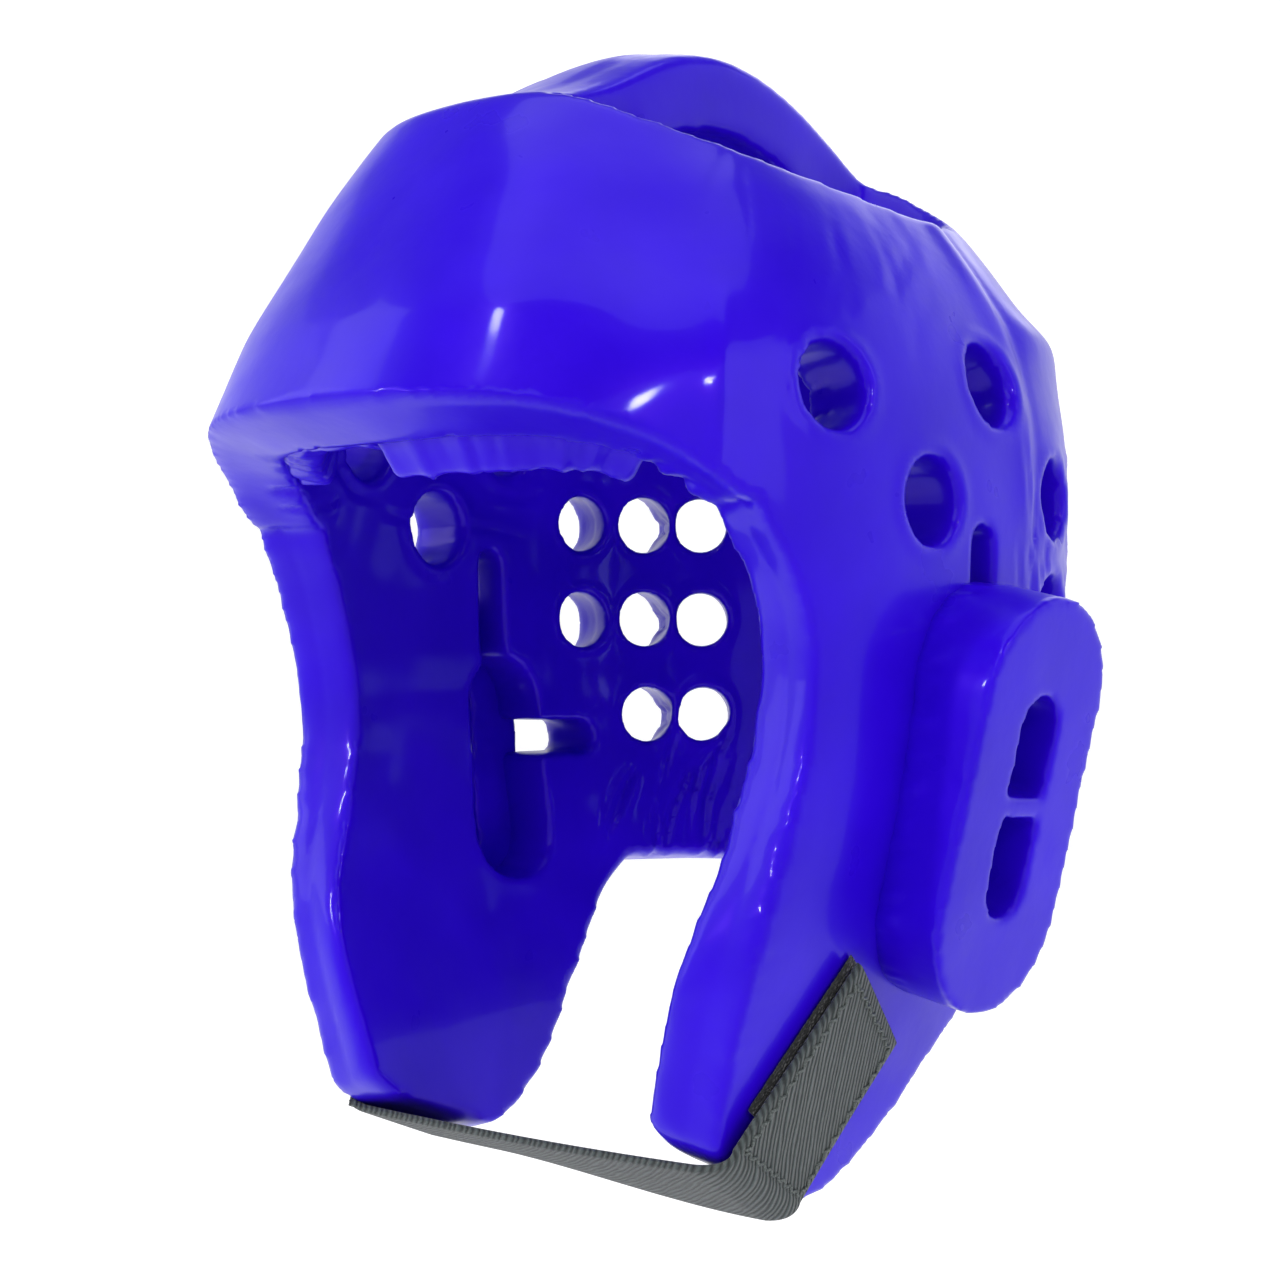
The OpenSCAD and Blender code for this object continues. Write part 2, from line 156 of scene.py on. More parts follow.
def front_reach(height, turn):
    t = np.clip((61 - folded(turn)) / 29, 0, 1)
    share = t * t * (3 - 2 * t)
    cheek = profile(FRONT_PROFILE, height)
    forehead = np.where(height > 75, cheek, profile(FOREHEAD_PROFILE, height))
    return BROW_DEPTH * (cheek + (forehead - cheek) * share)


def shell_point(turn, height):
    """Point on the outer face: turn 0 is the front, 90 the wearer's left, 180 the back."""
    turn, height = np.broadcast_arrays(np.asarray(turn, float), np.asarray(height, float))
    power = 2 / profile(POWER_PROFILE, height)
    angle = np.radians(turn)
    rear = REAR_DEPTH * profile(REAR_PROFILE, height)
    reach = np.where(np.cos(angle) > 0, front_reach(height, turn), rear)
    x = HALF_WIDTH * profile(WIDTH_PROFILE, height) * signed_power(np.sin(angle), power)
    y = -reach * signed_power(np.cos(angle), power)
    return np.stack([x, y, height], -1)


def unit(v):
    return v / np.maximum(np.linalg.norm(v, axis=-1, keepdims=True), 1e-12)


def shell_axes(turn, height):
    """Steps along and up the outer face, and its outward normal."""
    along = shell_point(turn + 0.5, height) - shell_point(turn - 0.5, height)
    up = shell_point(turn, height + 0.5) - shell_point(turn, height - 0.5)
    return along, up, unit(np.cross(along, up))


def under_shell(turn, height, depth):
    return shell_point(turn, height) - depth * shell_axes(turn, height)[2]


def dot(a, b):
    return np.sum(a * b, axis=-1)


def foot(points):
    """Turn, height and depth of points under the outer face, and its normal there."""
    x, y, height = points.T.copy()
    width = HALF_WIDTH * profile(WIDTH_PROFILE, height)
    turn = np.degrees(np.arctan2(x / width, -y / BROW_DEPTH))
    for _ in range(8):
        q = shell_point(turn, height)
        along, up, normal = shell_axes(turn, height)
        w = points - q
        w = w - normal * dot(w, normal)[:, None]
        aa, au, uu = dot(along, along), dot(along, up), dot(up, up)
        det = np.maximum(aa * uu - au * au, 1e-9)
        turn = turn + np.clip((dot(w, along) * uu - dot(w, up) * au) / det, -8, 8)
        height = height + np.clip((dot(w, up) * aa - dot(w, along) * au) / det, -8, 8)
    q = shell_point(turn, height)
    normal = shell_axes(turn, height)[2]
    return turn, height, -dot(points - q, normal), normal


def turn_at(y, height):
    """Turn at which the outer face reaches the given y, on the wearer's left."""
    power = profile(POWER_PROFILE, height)
    rear = REAR_DEPTH * profile(REAR_PROFILE, height)
    reach = np.where(y < 0, front_reach(height, 61), rear)
    c = np.degrees(np.arccos(np.minimum(1, np.abs(y) / reach) ** (power / 2)))
    return np.where(y < 0, c, 180 - c)


# --- mesh helpers -----------------------------------------------------------------
def make_object(name, points, faces, material):
    """Smooth-shaded mesh object from points in millimetres."""
    mesh = bpy.data.meshes.new(name)
    corners = faces.tolist() if isinstance(faces, np.ndarray) else faces
    mesh.from_pydata((np.asarray(points) * MM).tolist(), [], corners)
    mesh.update()
    mesh.shade_smooth()
    obj = bpy.data.objects.new(name, mesh)
    bpy.context.scene.collection.objects.link(obj)
    mesh.materials.append(material)
    return obj


def cad_arrays(names):
    """Points in millimetres and triangles of several CAD nodes together."""
    points, faces, count = [], [], 0
    for name in names:
        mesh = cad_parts[name].data
        mesh.calc_loop_triangles()
        co = np.array([v.co for v in mesh.vertices]) / MM
        tri = np.array([t.vertices for t in mesh.loop_triangles])
        points.append(co)
        faces.append(tri + count)
        count += len(co)
    return np.concatenate(points), np.concatenate(faces)


def voxel_skin(points, faces, voxel):
    """One closed quad skin round solids, at the given voxel size in millimetres."""
    mesh = bpy.data.meshes.new("rough")
    mesh.from_pydata((points * MM).tolist(), [], faces.tolist())
    rough = bpy.data.objects.new("rough", mesh)
    bpy.context.scene.collection.objects.link(rough)
    remesh = rough.modifiers.new("skin", "REMESH")
    remesh.mode = "VOXEL"
    remesh.voxel_size = voxel * MM
    shaped = rough.evaluated_get(bpy.context.evaluated_depsgraph_get())
    skin = bpy.data.meshes.new_from_object(shaped)
    co = np.array([v.co for v in skin.vertices]) / MM
    quads = np.array([p.vertices for p in skin.polygons])
    bpy.data.objects.remove(rough)
    bpy.data.meshes.remove(mesh)
    bpy.data.meshes.remove(skin)
    return co, quads


def edges_of(quads):
    pairs = np.concatenate([quads[:, [k, (k + 1) % quads.shape[1]]] for k in range(quads.shape[1])])
    return np.unique(np.sort(pairs, axis=1), axis=0)


def relax(points, edges, rounds, share=None):
    """Moves each point towards the mean of its neighbours, as far as share says."""
    share = np.full(len(points), 0.5) if share is None else 0.5 * share
    degree = np.bincount(edges.ravel(), minlength=len(points))[:, None]
    for _ in range(rounds):
        total = np.zeros_like(points)
        for k in range(3):
            ends = points[:, k][edges]
            total[:, k] += np.bincount(edges[:, 0], ends[:, 1], len(points))
            total[:, k] += np.bincount(edges[:, 1], ends[:, 0], len(points))
        points = points + (total / degree - points) * share[:, None]
    return points


def point_normals(points, quads):
    a, b, c, d = (points[quads[:, k]] for k in range(4))
    face = np.cross(c - a, d - b)
    out = np.zeros_like(points)
    for k in range(4):
        for axis in range(3):
            out[:, axis] += np.bincount(quads[:, k], face[:, axis], len(points))
    return unit(out)


def value_noise(points, wavelength, seed):
    """Smooth noise between -1 and 1 at points in millimetres."""
    lattice = np.random.default_rng(seed).uniform(-1, 1, (32, 32, 32))
    q = points / np.asarray(wavelength, float)
    cell = np.floor(q).astype(int)
    f = q - cell
    f = f * f * (3 - 2 * f)
    out = np.zeros(len(points))
    for corner in np.ndindex(2, 2, 2):
        weight = np.prod(np.where(np.array(corner) == 1, f, 1 - f), axis=1)
        k = (cell + np.array(corner)) % 32
        out += weight * lattice[k[:, 0], k[:, 1], k[:, 2]]
    return out


def bell(distance, width):
    return np.exp(-((distance / width) ** 2))


def step_between(value, low, high):
    t = np.clip((value - low) / (high - low), 0, 1)
    return t * t * (3 - 2 * t)


def line_distance(flat, path):
    """Distance of flat points to a path of flat points, and the share of the path's length."""
    path = np.asarray(path, float)
    lengths = np.linalg.norm(np.diff(path, axis=0), axis=1)
    starts = np.concatenate([[0], np.cumsum(lengths)])
    best = np.full(len(flat), 1e9)
    share = np.zeros(len(flat))
    for k in range(len(path) - 1):
        d = path[k + 1] - path[k]
        t = np.clip((flat - path[k]) @ d / (d @ d), 0, 1)
        gap = np.linalg.norm(flat - path[k] - t[:, None] * d, axis=1)
        closer = gap < best
        best[closer] = gap[closer]
        share[closer] = ((starts[k] + t * lengths[k]) / starts[-1])[closer]
    return best, share


# --- materials ---------------------------------------------------------------------
def shader_nodes(material):
    tree = material.node_tree
    return tree.nodes, tree.links, tree.nodes["Principled BSDF"]


def new_material(name):
    material = bpy.data.materials.new(name)
    material.use_nodes = True
    return material


def add_noise(nodes, links, vector, scale, detail=2.0, rough=0.5):
    noise = nodes.new("ShaderNodeTexNoise")
    noise.inputs["Scale"].default_value = scale
    noise.inputs["Detail"].default_value = detail
    noise.inputs["Roughness"].default_value = rough
    links.new(vector, noise.inputs["Vector"])
    return noise


def add_range(nodes, links, value, low, high, to_low, to_high):
    remap = nodes.new("ShaderNodeMapRange")
    for socket, number in zip(remap.inputs[1:5], (low, high, to_low, to_high)):
        socket.default_value = number
    links.new(value, remap.inputs[0])
    return remap.outputs[0]


def add_mix(nodes, links, factor, first, second):
    mix = nodes.new("ShaderNodeMix")
    mix.data_type = "RGBA"
    mix.inputs["A"].default_value = (*first, 1)
    mix.inputs["B"].default_value = (*second, 1)
    links.new(factor, mix.inputs["Factor"])
    return mix.outputs["Result"]


def add_bump(nodes, links, height, strength, distance, previous=None):
    bump = nodes.new("ShaderNodeBump")
    bump.inputs["Strength"].default_value = strength
    bump.inputs["Distance"].default_value = distance
    links.new(height, bump.inputs["Height"])
    if previous is not None:
        links.new(previous, bump.inputs["Normal"])
    return bump.outputs["Normal"]


def dipped_vinyl(name, colour, deep):
    """Glossy dip coat over foam: orange peel, fine puckers and slightly uneven colour."""
    material = new_material(name)
    nodes, links, shader = shader_nodes(material)
    place = nodes.new("ShaderNodeTexCoord").outputs["Object"]
    blotch = add_noise(nodes, links, place, 26, 3)
    even = add_range(nodes, links, blotch.outputs["Fac"], 0.3, 0.7, 0, 1)
    links.new(add_mix(nodes, links, even, deep, colour), shader.inputs["Base Color"])
    haze = add_noise(nodes, links, place, 60, 3)
    gloss = add_range(nodes, links, haze.outputs["Fac"], 0.3, 0.7, 0.27, 0.37)
    links.new(gloss, shader.inputs["Roughness"])
    peel = add_noise(nodes, links, place, 130, 2)
    first = add_bump(nodes, links, peel.outputs["Fac"], 0.10, 0.0010)
    grain = add_noise(nodes, links, place, 900, 3, 0.6)
    second = add_bump(nodes, links, grain.outputs["Fac"], 0.10, 0.00012, first)
    links.new(second, shader.inputs["Normal"])
    shader.inputs["IOR"].default_value = 1.46
    shader.inputs["Specular IOR Level"].default_value = 0.34
    shader.inputs["Specular Tint"].default_value = (0.26, 0.04, 1.0, 1)
    shader.inputs["Coat Weight"].default_value = 0.14
    shader.inputs["Coat Roughness"].default_value = 0.08
    return material


def twill_webbing(name):
    """Elastic twill: broken diagonal ribs read from the strap's own flat coordinates."""
    material = new_material(name)
    nodes, links, shader = shader_nodes(material)
    flat = nodes.new("ShaderNodeUVMap").outputs["UV"]
    turned = nodes.new("ShaderNodeMapping")
    turned.inputs["Rotation"].default_value = (0, 0, np.radians(-52))
    links.new(flat, turned.inputs["Vector"])
    stretched = nodes.new("ShaderNodeMapping")
    stretched.inputs["Scale"].default_value = (1, 0.22, 1)
    links.new(turned.outputs["Vector"], stretched.inputs["Vector"])
    ribs = nodes.new("ShaderNodeTexWave")
    ribs.inputs["Scale"].default_value = 0.255
    ribs.inputs["Distortion"].default_value = 3.4
    ribs.inputs["Detail"].default_value = 1.6
    ribs.inputs["Detail Scale"].default_value = 1.6
    links.new(stretched.outputs["Vector"], ribs.inputs["Vector"])
    yarn = add_noise(nodes, links, flat, 1.3, 3)
    shade = add_range(nodes, links, ribs.outputs["Fac"], 0.1, 0.9, 0, 1)
    tone = add_mix(nodes, links, shade, (0.012, 0.017, 0.018), (0.052, 0.068, 0.068))
    links.new(tone, shader.inputs["Base Color"])
    first = add_bump(nodes, links, ribs.outputs["Fac"], 0.9, 0.00055)
    second = add_bump(nodes, links, yarn.outputs["Fac"], 0.5, 0.0003, first)
    links.new(second, shader.inputs["Normal"])
    shader.inputs["Roughness"].default_value = 0.86
    shader.inputs["Sheen Weight"].default_value = 0.15
    return material


def fuzzy_tape(name, colour, scale):
    """Hook-and-loop tape: small raised hooks or loops."""
    material = new_material(name)
    nodes, links, shader = shader_nodes(material)
    place = nodes.new("ShaderNodeTexCoord").outputs["Object"]
    cells = nodes.new("ShaderNodeTexVoronoi")
    cells.inputs["Scale"].default_value = scale
    links.new(place, cells.inputs["Vector"])
    shade = add_range(nodes, links, cells.outputs["Distance"], 0, 0.7, 1, 0)
    dark = tuple(0.35 * c for c in colour)
    links.new(add_mix(nodes, links, shade, dark, colour), shader.inputs["Base Color"])
    links.new(add_bump(nodes, links, shade, 0.9, 0.0005), shader.inputs["Normal"])
    shader.inputs["Roughness"].default_value = 0.8
    shader.inputs["Sheen Weight"].default_value = 0.3
    return material


def thread_material(name):
    material = new_material(name)
    nodes, links, shader = shader_nodes(material)
    place = nodes.new("ShaderNodeTexCoord").outputs["Object"]
    twist = add_noise(nodes, links, place, 2500, 2)
    shade = add_range(nodes, links, twist.outputs["Fac"], 0.35, 0.65, 0, 1)
    tone = add_mix(nodes, links, shade, (0.03, 0.04, 0.04), (0.10, 0.115, 0.11))
    links.new(tone, shader.inputs["Base Color"])
    links.new(add_bump(nodes, links, twist.outputs["Fac"], 0.5, 0.0002), shader.inputs["Normal"])
    shader.inputs["Roughness"].default_value = 0.6
    return material


BLUE = (0.021, 0.0006, 0.56)
DEEP_BLUE = (0.015, 0.0005, 0.46)
SHELL_COAT = dipped_vinyl("shell_coat", BLUE, DEEP_BLUE)
PAD_COAT = dipped_vinyl("pad_coat", BLUE, DEEP_BLUE)
WEBBING = twill_webbing("webbing_twill")
TAPE = fuzzy_tape("hook_and_loop_tape", (0.02, 0.022, 0.024), 1100)
THREAD = thread_material("stitching_thread")


# --- camera ---------------------------------------------------------------------------
CAMERA_AT = Vector((372.95, -441.52, 0.0)) * MM
CAMERA_TURN = np.radians(-40.687)
CAMERA_TILT = np.radians(0.51)
CAMERA_ROLL = np.radians(-0.10)
LENS = 63.74


def make_camera():
    data = bpy.data.cameras.new("camera")
    data.lens = LENS
    data.sensor_width = 36.0
    data.clip_start = 0.01
    camera = bpy.data.objects.new("camera", data)
    bpy.context.scene.collection.objects.link(camera)
    level = np.cos(CAMERA_TILT)
    ahead = Vector((level * np.sin(CAMERA_TURN), level * np.cos(CAMERA_TURN), np.sin(CAMERA_TILT)))
    right = Vector((np.cos(CAMERA_TURN), -np.sin(CAMERA_TURN), 0))
    up = right.cross(ahead)
    rolled_right = right * np.cos(CAMERA_ROLL) + up * np.sin(CAMERA_ROLL)
    rolled_up = up * np.cos(CAMERA_ROLL) - right * np.sin(CAMERA_ROLL)
    axes = Matrix((rolled_right, rolled_up, -ahead)).transposed()
    camera.matrix_world = Matrix.Translation(CAMERA_AT) @ axes.to_4x4()
    bpy.context.scene.camera = camera


make_camera()


# --- the shell's skin ------------------------------------------------------------------
FOAM = [
    "forehead_panel", "left_side_panel", "right_side_panel", "left_cheek_outer_ply",
    "right_cheek_outer_ply", "left_cheek_inner_ply", "right_cheek_inner_ply", "rear_panel",
    "rear_crown_panel", "crown_strip",
]
ARC = 1.62  # millimetres of wall to a degree of turn
FLAP_ROUNDS = 3  # extra smoothing that rounds the cheek flaps' edges


def snapped(points):
    """Points near the wall's two faces, laid exactly on them, and their wall coordinates."""
    turn, height, depth, normal = foot(points)
    crown = profile(CROWN_EDGE, folded(turn))
    inside = step_between(crown - height, -1, 4)
    to_outer = bell(depth, 0.9) * depth
    to_inner = bell(depth - WALL, 0.9) * (depth - WALL)
    move = (to_outer + to_inner) * inside
    return points + normal * move[:, None], turn, height, depth, inside


def every_vent():
    """Centre, axis and inner radius of every vent on both sides."""
    for turn, height in SIDE_VENTS + REAR_VENTS:
        throat = VENT_RADIUS if (turn, height) in SIDE_VENTS else VENT_THROAT
        for side in (1, -1) if turn < 180 else (1,):
            yield shell_point(side * turn, height), shell_axes(side * turn, height)[2], throat


def about_vent(points, centre, axis):
    """Depth of points along a vent, and their offset square to its axis."""
    w = points - centre
    along = dot(w, axis)
    return -along, w - along[:, None] * axis


def vent_rings(points):
    """Raised lips round the vents on both faces."""
    lift = np.zeros(len(points))
    for centre, axis, throat in every_vent():
        depth, offset = about_vent(points, centre, axis)
        radius = np.linalg.norm(offset, axis=1)
        outside = np.abs(depth) < 6
        inside = np.abs(depth - WALL) < 6
        lift += outside * VENT_LIP * bell(radius - VENT_RADIUS - 2.4, 1.5)
        lift += inside * INNER_LIP * bell(radius - throat - 2.2, 1.3)
    return lift


def bored(points, start=False):
    """Points on the walls of the vents, laid on a true tapered bore, widened at the start."""
    points = points.copy()
    for centre, axis, throat in every_vent():
        depth, offset = about_vent(points, centre, axis)
        radius = np.linalg.norm(offset, axis=1)
        share = np.clip(depth / WALL, 0, 1) * (depth < WALL + 4)
        if throat < VENT_RADIUS and start:
            drilled = VENT_RADIUS + (throat - VENT_RADIUS) * share
            spread = THROAT_FLARE * share * np.clip(1 - (radius - drilled) / 4.5, 0, 1)
            spread *= radius < drilled + 4.5
            points += offset * (spread / np.maximum(radius, 1e-6))[:, None]
            offset = offset * (1 + spread / np.maximum(radius, 1e-6))[:, None]
            radius = radius + spread
        throat = throat + THROAT_FLARE * (throat < VENT_RADIUS)
        wanted = VENT_RADIUS + (throat - VENT_RADIUS) * share
        middle = step_between(depth, 0.8, 3.4) * step_between(WALL - depth, 0.8, 3.0)
        hold = middle * (np.abs(radius - wanted) < 2.4)
        points += offset * (hold * (wanted / np.maximum(radius, 1e-6) - 1))[:, None]
    return points


def settled(points):
    """The skin's own set: a flatter brow corner, fuller jaws and rear, and slanted rims."""
    turn, height, depth, normal = foot(points)
    left = folded(turn)
    brow_corner = left - 47
    out = -BROW_CORNER_FLAT * bell(brow_corner, 14) * bell(height - 84, 30)
    out -= BROW_UPPER_FLAT * bell(brow_corner, 16) * bell(height - 96, 20)
    out += REAR_FOLD_RISE * step_between(left, 100, 112) * bell(height - 79, 9)
    jaw = step_between(height, -50, -20) * step_between(-height, -75, -50)
    out += JAW_FILL * bell(left - 112, 16) * jaw
    points = points + normal * out[:, None]
    right_side = step_between(-points[:, 0], 20, 50)
    points[:, 0] -= RIGHT_FLAP_SPREAD * right_side * step_between(-height, 5, 65)
    far_rim = right_side * bell(height - 6, 24) * step_between(-left, -84, -66)
    points[:, 0] -= RIGHT_RIM_OUT * far_rim
    points[:, 1] -= RIGHT_RIM_FORWARD * far_rim
    rim = turn_at(profile(RIM_EDGE, height), height)
    back = (left - rim) * ARC
    lower = step_between(-height, 40, 80)
    points[:, 1] -= RIM_SLANT * step_between(depth, 3, WALL) * step_between(-back, -24, -2) * lower
    points[:, 2] -= JAW_DROP * step_between(-height, 98, 108)
    strip = step_between(points[:, 2], 126, 134)
    points[:, 2] -= STRIP_DIP * strip * bell(points[:, 1] + 46, 20)
    return points


def creases(flat, seed, count, centre, spread, length, lean, depth, width):
    """Small fold lines scattered about a centre, each running along lean degrees from level."""
    rng = np.random.default_rng(seed)
    out = np.zeros(len(flat))
    for _ in range(count):
        at = np.array(centre) + rng.normal(0, 1, 2) * np.array(spread)
        angle = np.radians(lean + rng.normal(0, 10))
        half = length * rng.uniform(0.3, 0.65)
        way = np.array([np.cos(angle), np.sin(angle)]) * half
        bend = np.array([-way[1], way[0]]) * rng.normal(0, 0.12)
        gap, share = line_distance(flat, [at - way, at + bend, at + way])
        taper = np.clip(4 * share * (1 - share), 0, 1)
        w = width * rng.uniform(0.7, 1.3)
        size = depth * rng.uniform(0.5, 1.0) * taper
        out += size * (0.55 * bell(gap - 1.6 * w, w) - bell(gap, w))
    return out


def skin_relief(points, turn, height, depth, inside):
    """Outward move of each point of the shell: folds, puckers and a slight unevenness."""
    outer = step_between(-depth, -9, -4)
    inner = step_between(depth, 10, 15)
    left = folded(turn)
    side = np.where(np.mod(turn, 360) > 180, -1.0, 1.0)
    flat = np.stack([left * ARC, height], 1)
    lift = 0.28 * value_noise(points, 34, 1) + 0.12 * value_noise(points, 13, 2)
    lift += vent_rings(points)
    # The fold behind the ear well's neck, and the one round the upper back.
    gap = (left - 102.6) * ARC
    along = step_between(height, 24, 40)
    lift += outer * along * (0.9 * bell(gap + 1.5, 4.5) - 0.55 * bell(gap - 4, 2.2))
    rear = step_between(left, 104, 110)
    lift += outer * rear * 0.5 * bell(height - 79, 4.0)
    # The turn of the forehead into the side.
    brow = step_between(height, 30, 44) * step_between(-height, -90, -70)
    lift += outer * brow * 0.5 * bell((left - 57) * ARC, 3.0)
    # Fine folds drawn down the side and round the crown rim.
    near = side > 0
    for flip, seed in ((near, 11), (~near, 21)):
        piece = creases(flat, seed, 7, (90 * ARC, 86), (14, 10), 40, 72, 0.16, 1.6)
        piece += creases(flat, seed + 1, 10, (105 * ARC, 22), (5, 10), 26, 88, 0.8, 0.9)
        piece += creases(flat, seed + 2, 5, (70 * ARC, 96), (16, 7), 34, 60, 0.16, 1.6)
        piece += creases(flat, seed + 3, 7, (66 * ARC, -35), (10, 30), 16, 20, 0.25, 1.0)
        lift += outer * flip * piece
        folds = creases(flat, seed + 4, 14, (52 * ARC, 22), (10, 18), 20, 8, 1.1, 1.2)
        folds += creases(flat, seed + 5, 11, (80 * ARC, 48), (14, 14), 18, -20, 0.9, 1.1)
        folds += creases(flat, seed + 6, 14, (138 * ARC, -42), (20, 9), 26, 66, 1.9, 1.3)
        lift += inner * flip * folds
    # Drawn wrinkles over the strip across the crown opening.
    strip = step_between(points[:, 2], 132, 138)
    drawn = value_noise(np.stack([points[:, 0], points[:, 1] * 0.3, height * 0.3], 1), (6, 9, 9), 7)
    lift += strip * 0.6 * drawn
    # Puckers along the front rim of the cheeks.
    rim = turn_at(profile(RIM_EDGE, height), height)
    back = (left - rim) * ARC
    cheek = step_between(-height, -34, -24) * step_between(height, -112, -100)
    pucker = value_noise(np.stack([depth * 0.2, back * 0.2, height], 1), (3, 3, 2.0), 5)
    patchy = np.clip(0.4 + 1.2 * value_noise(points, 22, 6), 0, 1)
    lift += cheek * 0.26 * patchy * bell(back - 1, 3.0) * bell(depth - 1, 3.5) * pucker
    lift += cheek * 0.16 * patchy * bell(back - 1, 3.0) * bell(depth - WALL + 1, 3.0) * pucker
    seam = depth - 0.45 * WALL
    lift -= cheek * 0.22 * bell(back, 3.0) * bell(seam, 0.9)
    return lift * np.where(inside > 0.5, 1, 0.6)


def make_shell():
    points, quads = voxel_skin(*cad_arrays(FOAM), SKIN_VOXEL)
    edges = edges_of(quads)
    flap = step_between(-points[:, 2], 30, 42)
    points = bored(points, start=True)
    for rounds in (2, 3, 2):
        points = relax(points, edges, rounds)
        points = relax(points, edges, FLAP_ROUNDS, flap)
        points, turn, height, depth, inside = snapped(bored(points))
    normals = point_normals(points, quads)
    lift = skin_relief(points, turn, height, depth, inside)
    points = settled(relax(points + normals * lift[:, None], edges, 1))
    shell = make_object("shell_skin", points, quads, SHELL_COAT)
    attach(shell, "shell")
    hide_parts(*FOAM)


# --- brow rolls --------------------------------------------------------------------------
def make_brow_roll(name):
    points, quads = voxel_skin(*cad_arrays([name]), ROLL_VOXEL)
    edges = edges_of(quads)
    points = relax(points, edges, 7)
    turn, height, depth, normal = foot(points)
    points = points + normal * (0.9 * step_between(-depth, -24, -19))[:, None]
    right_half = name.startswith("right")
    shift = 5.0 * bell(turn + 14, 14) if right_half else -4.5 * step_between(-turn, -62, -50)
    points[:, 2] += shift * step_between(depth, 20, 28)
    along = turn * ARC
    wrinkles = value_noise(np.stack([along, depth * 0.35, height * 0.35], 1), (5, 7, 7), 31)
    fine = value_noise(np.stack([along, depth * 0.5, height * 0.5], 1), (2.6, 5, 5), 32)
    lower = step_between(-height, -62, -52)
    lift = 0.5 * wrinkles + (0.15 + 0.35 * lower) * fine
    points = points + point_normals(points, quads) * lift[:, None]
    roll = make_object("visual_" + name, points, quads, SHELL_COAT)
    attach(roll, "shell")
    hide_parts(name)


# --- ear pads ----------------------------------------------------------------------------
def make_ear_pad(name):
    points, quads = voxel_skin(*cad_arrays([name]), PAD_VOXEL)
    edges = edges_of(quads)
    points = relax(points, edges, 3)
    _, _, depth, normal = foot(points)
    base = step_between(depth, -3.5, -0.8)
    points = points - normal * (1.6 * base)[:, None]
    band = bell(depth + 3.5, 2.6)
    around = np.stack([points[:, 1], points[:, 2], depth * 0.3], 1)
    lift = band * 0.6 * value_noise(around, (3.0, 2.4, 4), 41)
    lift += 0.10 * value_noise(points, 9, 42) + 0.15 * value_noise(points, 24, 43)
    points = points + point_normals(points, quads) * lift[:, None]
    pad = make_object("visual_" + name, points, quads, PAD_COAT)
    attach(pad, "shell")
    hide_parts(name)


# --- chin strap --------------------------------------------------------------------------
TILT = np.arctan(JAW_SLOPE)
ALONG = np.array([np.sin(np.radians(TAB_LEAN)), np.cos(np.radians(TAB_LEAN))])
STRAP_SPAN = STRAP_WIDTH * np.cos(TILT)
END_DEPTH = -3.6
LOOP_DEPTH = -2.05
HOOK_DEPTH = -0.7


def end_place(side, front, up, across, depth):
    """Point on a strap end: up and across in millimetres from the fold and the centre line."""
    y0 = front + STRAP_SPAN / 2
    base = np.array([y0, STRAP_DROP - JAW_SLOPE * y0])
    share = np.clip((up - FOLD_GAP) / STRAP_LENGTH_UP, 0, 1)
    turned = TILT + np.radians(END_TWIST) * share
    sideways = np.stack([np.cos(turned), -np.sin(turned)], -1)
    flat = base + across[..., None] * sideways + up[..., None] * ALONG
    droop = FOLD_DROOP * (0.5 + across / STRAP_WIDTH) * (1 - 0.2 * share) * (side > 0)
    y, z = flat[..., 0], flat[..., 1] - droop
    spot = under_shell(turn_at(y, z), z, depth)
    return spot * np.array([side, 1, 1])


def web_place(x, across):
    """Point on the middle layer of the webbing under the jaw."""
    front = RIGHT_FRONT + (LEFT_FRONT - RIGHT_FRONT) * (x + FOLD_X) / (2 * FOLD_X)
    y = front + STRAP_SPAN / 2 + across * np.cos(TILT)
    drop = WEB_SAG * (1 - (x / FOLD_X) ** 2) + STRAP_THICKNESS / 2
    return np.stack([x, y, STRAP_DROP - JAW_SLOPE * y - drop], -1)


def lay_flat(strip, flat):
    """Gives each point of a strip its flat coordinates, in millimetres."""
    layer = strip.data.uv_layers.new(name="UVMap")
    loops = np.array([loop.vertex_index for loop in strip.data.loops])
    layer.data.foreach_set("uv", flat[loops].ravel())


def close_selvedges(mesh):
    """Joins the points that meet on the selvedges, and drops the empty faces between them."""
    joined = bmesh.new()
    joined.from_mesh(mesh)
    bmesh.ops.remove_doubles(joined, verts=joined.verts, dist=1e-8)
    joined.to_mesh(mesh)
    joined.free()


